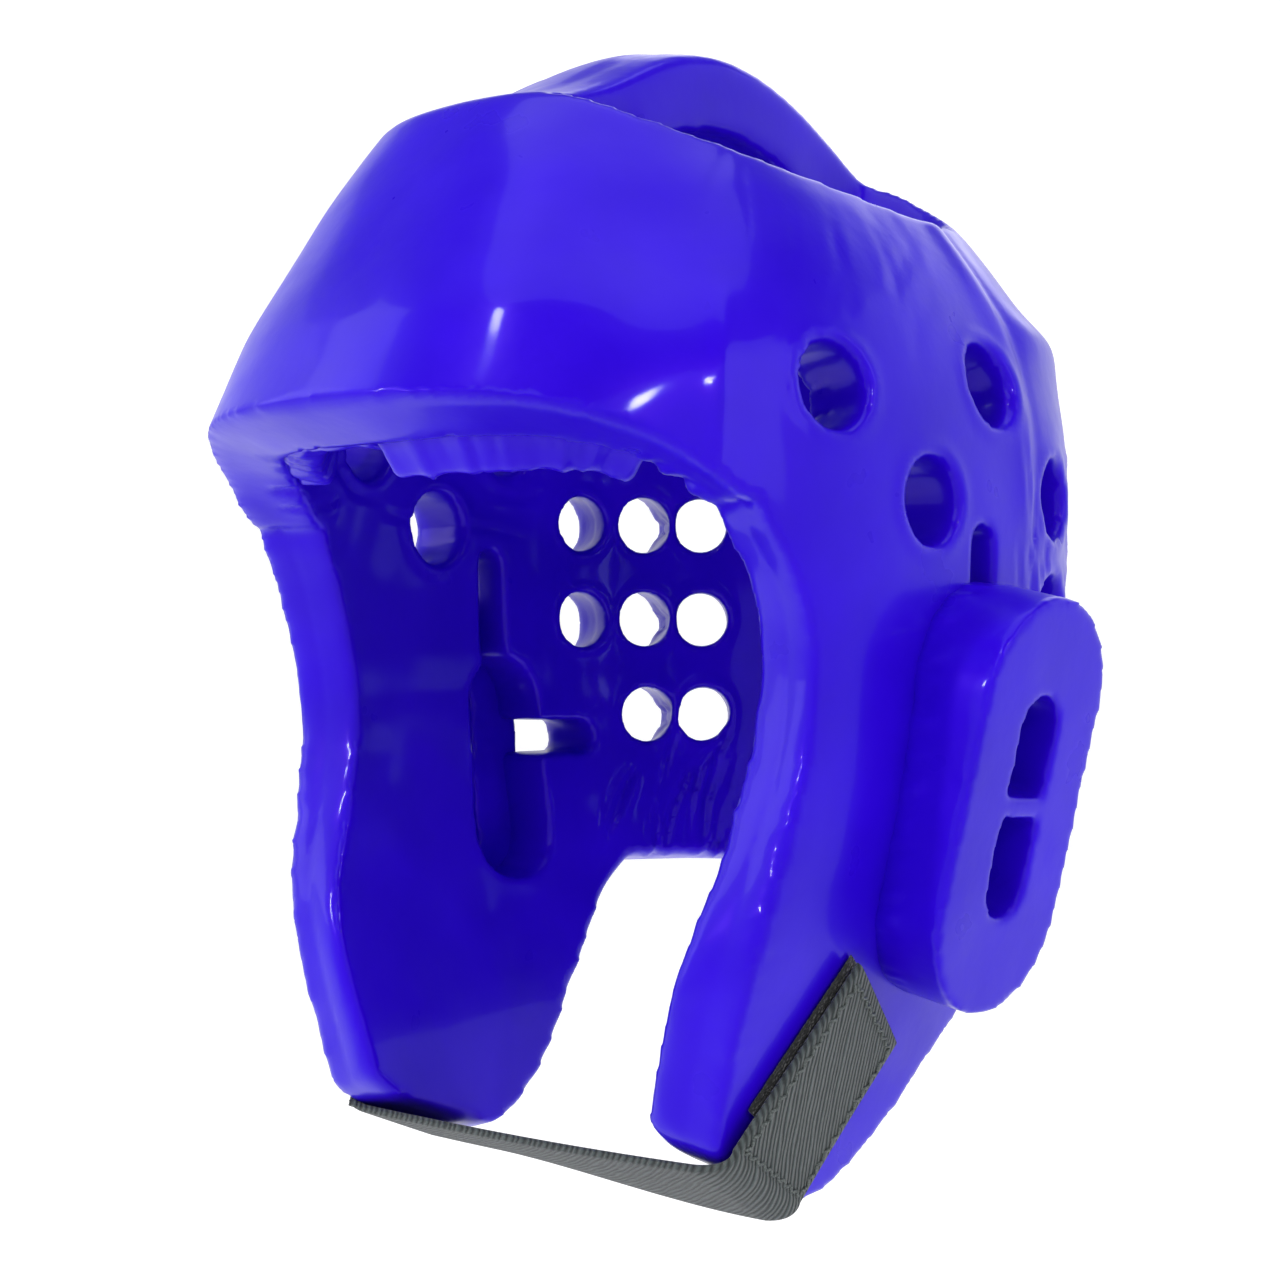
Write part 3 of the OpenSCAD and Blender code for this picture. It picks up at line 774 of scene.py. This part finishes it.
def strip_solid(name, middle, half, lengthwise, material):
    """Closed strip from its middle layer, with rounded selvedges and flat coordinates."""
    rows, cols = middle.shape[:2]
    du = np.gradient(middle, axis=0)
    dv = np.gradient(middle, axis=1)
    normal = unit(np.cross(du, dv))
    v = np.linspace(-1, 1, cols)
    round_edge = np.sqrt(np.clip(1 - np.abs(v) ** 24, 0.0, 1))[None, :, None]
    top = middle + normal * half * round_edge
    bottom = middle - normal * half * round_edge
    points = np.concatenate([top.reshape(-1, 3), bottom.reshape(-1, 3)])
    index = np.arange(rows * cols).reshape(rows, cols)
    n = rows * cols
    a, b, c, d = index[:-1, :-1], index[1:, :-1], index[1:, 1:], index[:-1, 1:]
    upper = np.stack([a, b, c, d], -1).reshape(-1, 4)
    lower = upper[:, ::-1] + n
    ring = np.concatenate([index[0, :], index[1:, -1], index[-1, -2::-1], index[-2:0:-1, 0]])
    after = np.roll(ring, -1)
    wall = np.stack([ring, after, after + n, ring + n], 1)
    faces = np.concatenate([upper, lower, wall])
    strip = make_object(name, points, faces, material)
    flat = np.stack(np.broadcast_arrays(lengthwise[:, None], v[None, :] * STRAP_WIDTH / 2), -1)
    lay_flat(strip, np.concatenate([flat.reshape(-1, 2)] * 2))
    close_selvedges(strip.data)
    return strip


def rounded_corner(start, end, corner, count):
    t = np.linspace(0, 1, count)[:, None, None]
    return (1 - t) ** 2 * start + 2 * t * (1 - t) * corner + t * t * end


def end_rows(side, front, first, last, count, cols):
    up = np.linspace(first, last, count)[:, None]
    across = np.linspace(-0.5, 0.5, cols)[None, :] * STRAP_WIDTH
    return end_place(side, front, up + 0 * across, across + 0 * up, END_DEPTH)


def web_rows(first, last, count, cols):
    x = np.linspace(first, last, count)[:, None]
    across = np.linspace(-0.5, 0.5, cols)[None, :] * STRAP_WIDTH
    return web_place(x + 0 * across, across + 0 * x)


def strap_path_lengths(middle):
    centre = middle[:, middle.shape[1] // 2]
    steps = np.linalg.norm(np.diff(centre, axis=0), axis=1)
    return np.concatenate([[0], np.cumsum(steps)])


STRAP_COLS = 41


def fold_point(side, front):
    """Middle of the line that a strap end folds about."""
    y = front + STRAP_SPAN / 2
    return np.array([side * FOLD_X, y, STRAP_DROP - JAW_SLOPE * y])


def square_to_fold(sideways, upwards):
    """A step square to the fold lines, in millimetres."""
    return np.array([sideways, upwards * np.sin(TILT), upwards * np.cos(TILT)])


def make_strap():
    """The webbing and the wearer's left end in one piece, folded under the left jaw."""
    half = STRAP_THICKNESS / 2
    flat_run = web_rows(-FOLD_X, 55, 112, STRAP_COLS)
    rear_share = np.linspace(0, 1, STRAP_COLS)[None, :]
    flat_run[..., 2] -= FOLD_DROOP * rear_share * step_between(flat_run[..., 0], -35, 60)
    near_fold = np.clip(1 - (flat_run[..., 0] + FOLD_X) / 4, 0, 1)
    flat_run[..., 2] += half * near_fold**2
    rise = end_rows(1, LEFT_FRONT, 5, STRAP_LENGTH_UP + FOLD_GAP, 60, STRAP_COLS)
    corner = 0.5 * (flat_run[-1] + rise[0])
    corner[:, 0] = rise[0, :, 0] - 0.3
    corner[:, 2] = flat_run[-1, :, 2] + 0.6
    bend = rounded_corner(flat_run[-1], rise[0], corner, 26)[1:-1]
    middle = np.concatenate([flat_run, bend, rise])
    strap = strip_solid("chin_strap_webbing", middle, half, strap_path_lengths(middle), WEBBING)
    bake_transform(strap)
    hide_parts("chin_webbing", "left_strap_end")


def make_right_end():
    """The wearer's right end, drawn in to the fold at its foot."""
    rows, length = 60, STRAP_LENGTH_UP + FOLD_GAP
    right = end_rows(-1, RIGHT_FRONT, 0.0, length, rows, STRAP_COLS)
    foot_share = np.clip(1 - np.linspace(0, length, rows) / 6, 0, 1)[:, None]
    right[..., 0] += (-FOLD_X - right[..., 0]) * foot_share**2
    half = STRAP_THICKNESS / 2
    end = strip_solid("right_end_webbing", right, half, strap_path_lengths(right), WEBBING)
    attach(end, "right_end")
    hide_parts("right_strap_end")


def make_fold_edge():
    """The rounded fold between the webbing and the right end."""
    across = np.linspace(-0.5, 0.5, STRAP_COLS) * STRAP_WIDTH
    fold = fold_point(-1, RIGHT_FRONT)
    axis = np.array([0, np.cos(TILT), -np.sin(TILT)])
    sides = 16
    angles = np.linspace(0, 2 * np.pi, sides, endpoint=False)
    ring = np.array([square_to_fold(np.cos(a), np.sin(a)) for a in angles])
    radius = STRAP_THICKNESS / 2 + 0.08
    taper = np.clip(1 - np.abs(across / across[-1]) ** 24, 0.2, 1)[:, None, None]
    points = fold + across[:, None, None] * 0.995 * axis + radius * taper * ring
    rows = len(across)
    index = np.arange(rows * sides).reshape(rows, sides)
    after = np.roll(index, -1, axis=1)
    faces = np.stack([index[:-1], after[:-1], after[1:], index[1:]], -1).reshape(-1, 4).tolist()
    faces += [index[0, ::-1].tolist(), index[-1].tolist()]
    edge = make_object("right_fold_edge", points.reshape(-1, 3), faces, WEBBING)
    lay_flat(edge, np.array([(k % sides, across[k // sides]) for k in range(rows * sides)]))
    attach(edge, "chin_strap")


def make_tape(name, side, front, width, low, high, depth, body, seed):
    """One hook or loop patch, with a napped face."""
    up = np.linspace(low, high, 70)[:, None] * STRAP_LENGTH_UP
    across = np.linspace(-0.5, 0.5, 45)[None, :] * width
    middle = end_place(side, front, up + 0 * across + 1.0, across + 0 * up, depth)
    rng = np.random.default_rng(seed)
    middle[..., 0] += side * rng.uniform(-0.10, 0.10, middle.shape[:2])
    patch = strip_solid(name, middle, 0.45, strap_path_lengths(middle), TAPE)
    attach(patch, body)
    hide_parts(name.replace("visual_", ""))


def stitch_line(path, pitch, length, radius, normal_of):
    """Short thread runs along a path of points, as points and faces of small grains."""
    path = np.asarray(path)
    steps = np.linalg.norm(np.diff(path, axis=0), axis=1)
    reach = np.concatenate([[0], np.cumsum(steps)])
    points, faces = [], []
    for s in np.arange(pitch / 2, reach[-1], pitch):
        ends = [s - length / 2, s + length / 2]
        a, b = (np.array([np.interp(e, reach, path[:, k]) for k in range(3)]) for e in ends)
        out = normal_of(a)
        beside = np.cross(unit(b - a), out)
        lean = 0.75 * beside * (-1) ** int(s // pitch)
        a, b = a - lean, b + lean
        beside = np.cross(unit(b - a), out)
        start = sum(len(p) for p in points)
        rings = []
        for t in np.linspace(0, 1, 6):
            arch = np.sqrt(max(0.02, 1 - (2 * t - 1) ** 4))
            centre = a + (b - a) * t + out * radius * (arch - 0.6)
            angles = np.linspace(0, 2 * np.pi, 8, endpoint=False)[:, None]
            rings.append(centre + radius * arch * (np.cos(angles) * beside + np.sin(angles) * out))
        points.append(np.concatenate(rings))
        for ring in range(5):
            for k in range(8):
                base = start + ring * 8
                nxt = (k + 1) % 8
                faces.append([base + k, base + nxt, base + 8 + nxt, base + 8 + k])
    return np.concatenate(points), faces


def make_stitching(side_name, side, front, body):
    """The sewn border round one strap end."""
    inset = STRAP_WIDTH / 2 - 2.6
    low, high = 6.0, STRAP_LENGTH_UP - 2.0
    rising, crossing = np.linspace(low, high, 40), np.linspace(-inset, inset, 20)
    up = np.concatenate([rising, np.full(20, high), rising[::-1], np.full(20, low)])
    across = np.concatenate([np.full(40, -inset), crossing, np.full(40, inset), crossing[::-1]])
    path = end_place(side, front, up, across, END_DEPTH - STRAP_THICKNESS / 2 - 0.05)
    inner = end_place(side, front, up, across, END_DEPTH)
    out = unit(np.mean(path - inner, axis=0))
    points, faces = stitch_line(path, 1.7, 1.9, 0.42, lambda a: out)
    thread = make_object(side_name + "_end_border_stitches", points, faces, THREAD)
    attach(thread, body)
    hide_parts(side_name + "_end_stitching")


# --- stage and light ---------------------------------------------------------------------
def make_stage(floor_height):
    """Pale round floor that curves up into a low wall all round."""
    flat, bend, wall = 1.5, 0.9, 2.0
    angles = np.linspace(0, np.pi / 2, 14)
    out = np.concatenate([[0.0, flat * 0.5], flat + bend * np.sin(angles), [flat + bend]])
    up = np.concatenate([[0.0, 0.0], bend * (1 - np.cos(angles)), [wall]])
    around = 96
    points = [
        (r * np.cos(a), r * np.sin(a), z + floor_height)
        for r, z in zip(out, up)
        for a in np.linspace(0, 2 * np.pi, around, endpoint=False)
    ]
    faces = [
        (i * around + k, i * around + (k + 1) % around, (i + 1) * around + (k + 1) % around,
         (i + 1) * around + k)
        for i in range(len(out) - 1)
        for k in range(around)
    ]
    material = new_material("studio_floor")
    shader = shader_nodes(material)[2]
    shader.inputs["Base Color"].default_value = (0.86, 0.86, 0.87, 1)
    shader.inputs["Roughness"].default_value = 0.9
    shader.inputs["Specular IOR Level"].default_value = 0.1
    shader.inputs["Emission Color"].default_value = (1, 1, 1, 1)
    shader.inputs["Emission Strength"].default_value = 0.36
    floor = make_object("studio_floor", np.array(points) / MM, faces, material)


def make_light(name, at, target, size, power):
    data = bpy.data.lights.new(name, "AREA")
    data.shape = "RECTANGLE"
    data.size, data.size_y = size
    data.energy = power
    light = bpy.data.objects.new(name, data)
    bpy.context.scene.collection.objects.link(light)
    light.location = at
    light.rotation_euler = (Vector(target) - Vector(at)).to_track_quat("-Z", "Y").to_euler()


def make_lights():
    make_light("top_soft", (0.10, -0.10, 1.30), (0, 0, 0.05), (1.3, 1.0), 6.5)
    make_light("left_strip", (-0.80, -0.62, 0.45), (0, 0, 0.05), (0.30, 1.0), 2.2)
    make_light("front_soft", (0.40, -1.10, 0.85), (0, 0, 0.0), (0.55, 0.45), 1.8)
    make_light("right_strip", (1.10, 0.15, 0.45), (0, 0, -0.02), (0.25, 0.8), 1.4)
    make_light("back_soft", (-0.4, 1.05, 0.8), (0, 0, 0.05), (0.9, 0.6), 2.2)
    make_light("high_glint", (0.05, -0.75, 0.95), (0, 0, 0.0), (0.07, 0.07), 1.5)
    make_light("side_glint", (0.95, -0.35, 0.60), (0, 0, 0.0), (0.06, 0.06), 2.0)
    make_light("left_glint", (-0.35, -1.00, 0.30), (0, 0, 0.05), (0.08, 0.08), 2.6)
    world = bpy.context.scene.world or bpy.data.worlds.new("world")
    bpy.context.scene.world = world
    world.use_nodes = True
    sky = world.node_tree.nodes["Background"]
    sky.inputs["Color"].default_value = (0.97, 0.97, 1.0, 1)
    sky.inputs["Strength"].default_value = 0.18


make_shell()
for roll in ("left_brow_roll", "right_brow_roll"):
    make_brow_roll(roll)
for pad in ("left_ear_pad", "right_ear_pad"):
    make_ear_pad(pad)
make_strap()
make_right_end()
make_fold_edge()
for word, sign, edge, body in (
    ("left", 1, LEFT_FRONT, "left_end"),
    ("right", -1, RIGHT_FRONT, "right_end"),
):
    make_tape(f"visual_{word}_hook_patch", sign, edge, 29.6, 0.25, 1.02, HOOK_DEPTH, "shell", 51)
    make_tape(f"visual_{word}_loop_patch", sign, edge, 26, 0.28, 0.97, LOOP_DEPTH, body, 52)
    make_stitching(word, sign, edge, body)

make_stage(CAD_BOX[0][2] - SWING_ROOM)
make_lights()
bpy.context.scene.view_settings.view_transform = "Standard"
